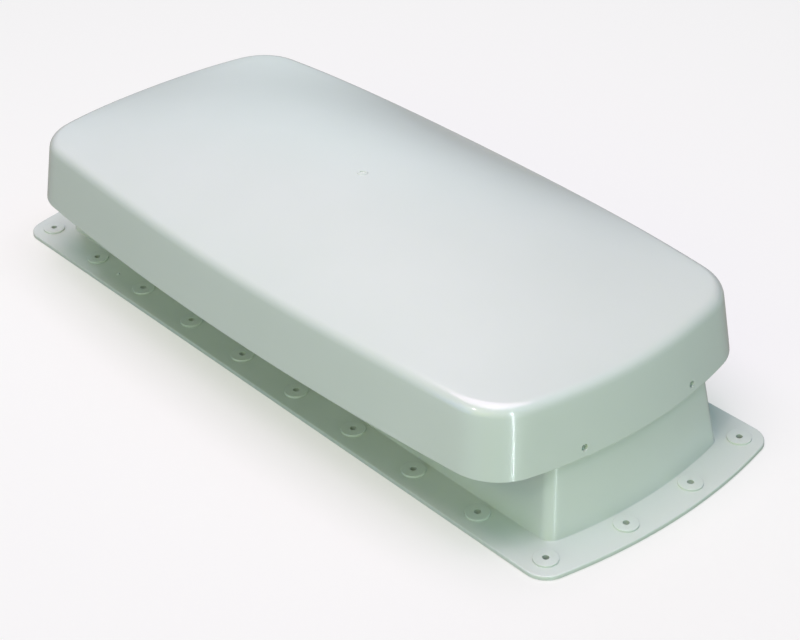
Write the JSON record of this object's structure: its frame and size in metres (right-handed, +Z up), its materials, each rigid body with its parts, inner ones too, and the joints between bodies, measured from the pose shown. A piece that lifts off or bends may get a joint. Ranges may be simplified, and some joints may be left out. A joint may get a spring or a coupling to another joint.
{
  "type": "rv refrigerator roof vent cap",
  "caption": "Long roof vent for a camper refrigerator flue: a flanged tapered collar with a bird screen, under a domed lift-off cap whose skirt overhangs the air outlets.",
  "frame": {"origin": "centre of the flange's underside, on the roof", "axes": "+X along the vent, +Y across it, +Z up, out of the roof"},
  "size_m": [0.6278, 0.27, 0.1346],
  "materials": {
    "vent_plastic": "satin",
    "screen_wire": "satin",
    "strip_metal": "satin",
    "screw_steel": "satin"
  },
  "bodies": {
    "base": {"vent_base": "vent_plastic", "bird_screen": "screen_wire", "screen_strip_front": "strip_metal", "screen_strip_back": "strip_metal", "screen_strip_left": "strip_metal", "screen_strip_right": "strip_metal", "screen_screws": "screw_steel"},
    "cap": {"vent_cap": "vent_plastic"}
  },
  "joints": [
    {"name": "cap_lift", "type": "slide", "parent": "base", "child": "cap", "axis": [0, 0, 1], "range_m": [0, 0.16]}
  ]
}
